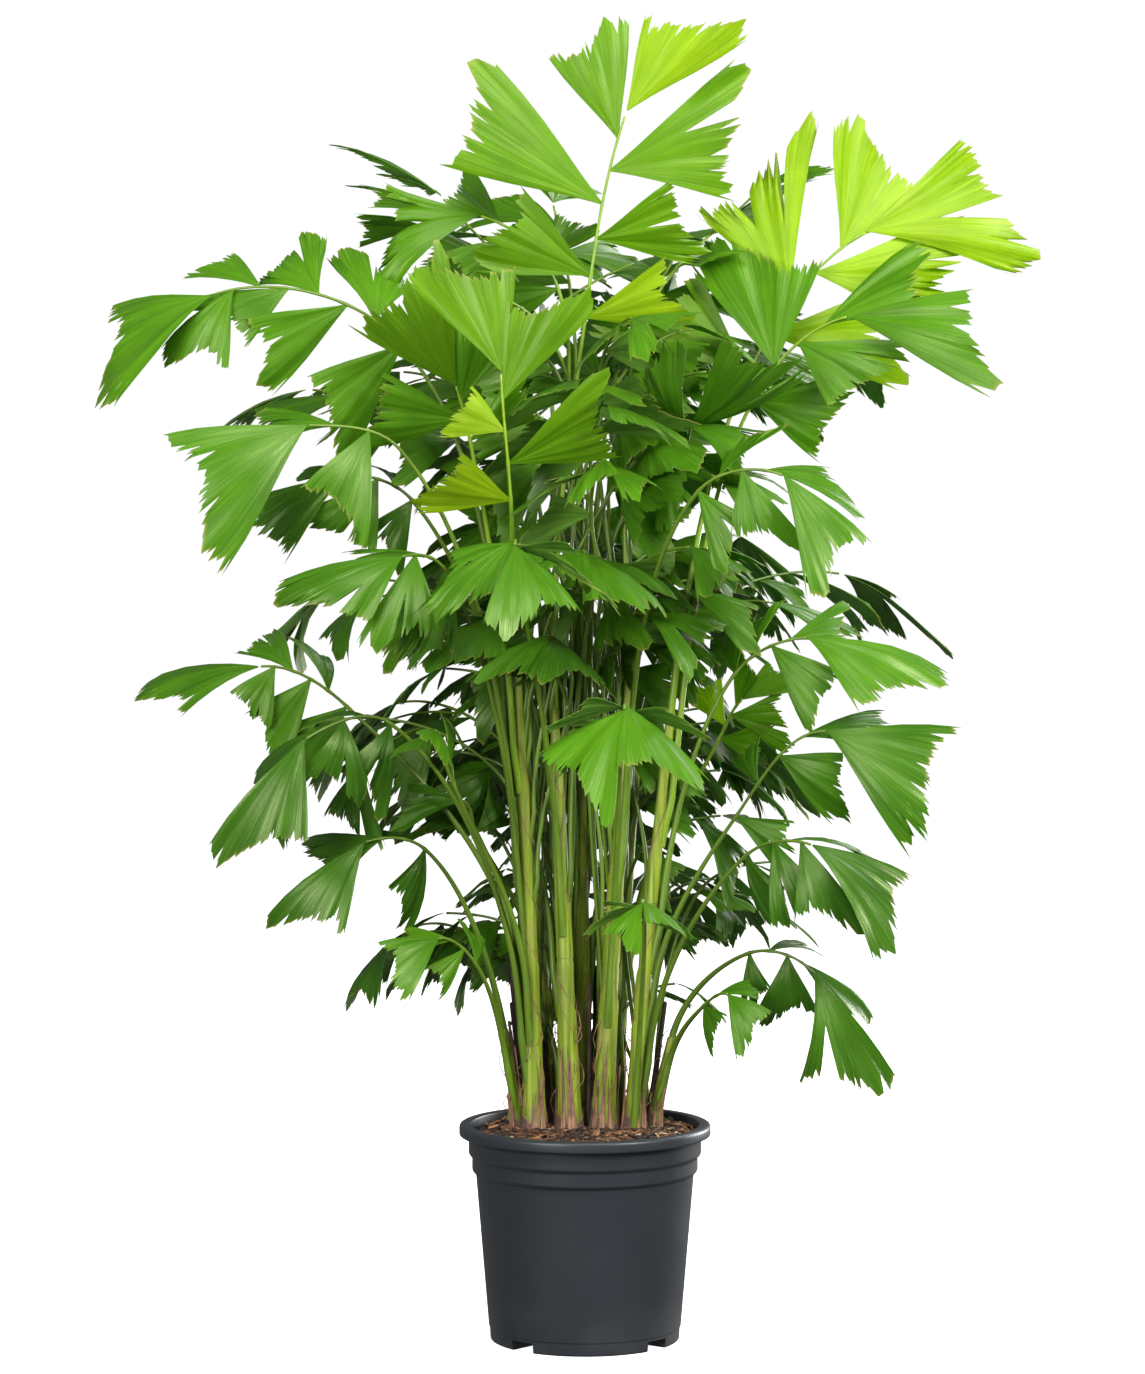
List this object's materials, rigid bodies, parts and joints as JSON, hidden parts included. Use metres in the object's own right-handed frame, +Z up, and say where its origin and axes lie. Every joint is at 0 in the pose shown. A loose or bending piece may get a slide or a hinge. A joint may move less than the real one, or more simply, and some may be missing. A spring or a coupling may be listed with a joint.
{
  "type": "potted fishtail palm",
  "caption": "Clump of green canes with bipinnate fronds of wedge-shaped, jagged leaflets, in a round black nursery pot that stands on its flat underside.",
  "frame": {"origin": "centre of the pot's flat underside, on the surface that the pot stands on", "axes": "+Z up along the pot's axis, +X to the right of the front view, -Y towards the front"},
  "size_m": [1.0425, 0.784, 1.4683],
  "materials": {
    "pot_plastic": "satin black moulded plastic",
    "compost": "moist bark compost",
    "cane": "smooth green leaf sheath",
    "frond_young": "young leaf, yellow-green, satin",
    "frond_mid": "full-grown leaf, mid green, satin",
    "frond_old": "old leaf, dark green, glossy"
  },
  "bodies": {
    "root": {"pot": "pot_plastic", "soil": "compost", "stem_far_left": "cane", "stem_left": "cane", "stem_middle": "cane", "stem_right": "cane", "stem_far_right": "cane", "stem_low_right": "cane", "stem_back_left": "cane", "stem_back_middle": "cane", "stem_back_right": "cane", "frond_top": "frond_young", "frond_top_left": "frond_young", "frond_bright_right": "frond_young", "frond_upper_right": "frond_young", "frond_dark_fan": "frond_mid", "frond_bright_left": "frond_young", "frond_light_left": "frond_young", "frond_upper_left": "frond_mid", "frond_arching_left": "frond_mid", "frond_under_left": "frond_old", "frond_mid_left": "frond_old", "frond_front_left": "frond_old", "frond_side_left": "frond_mid", "frond_low_left": "frond_old", "frond_inner_left": "frond_mid", "frond_drooping_left": "frond_old", "frond_lowest_left": "frond_mid", "frond_behind_left": "frond_old", "frond_front_right": "frond_old", "frond_side_right": "frond_mid", "frond_clump_right": "frond_young", "frond_low_right": "frond_old", "frond_dark_right": "frond_old", "frond_drooping_right": "frond_old", "frond_lowest_right": "frond_old", "frond_front": "frond_old", "frond_front_low": "frond_mid", "frond_back_1_1": "frond_young", "frond_back_1_2": "frond_young", "frond_back_1_3": "frond_young", "frond_back_1_4": "frond_young", "frond_back_2_1": "frond_mid", "frond_back_2_2": "frond_mid", "frond_back_2_3": "frond_mid", "frond_back_2_4": "frond_mid", "frond_back_2_5": "frond_mid", "frond_back_3_1": "frond_old", "frond_back_3_2": "frond_old", "frond_back_3_3": "frond_old", "frond_back_3_4": "frond_old", "frond_back_3_5": "frond_old", "frond_back_4_1": "frond_old", "frond_back_4_2": "frond_old", "frond_back_4_3": "frond_old", "frond_back_4_4": "frond_old", "frond_back_4_5": "frond_old", "frond_back_5_1": "frond_old", "frond_back_5_2": "frond_old", "frond_back_5_3": "frond_old"}
  },
  "joints": []
}
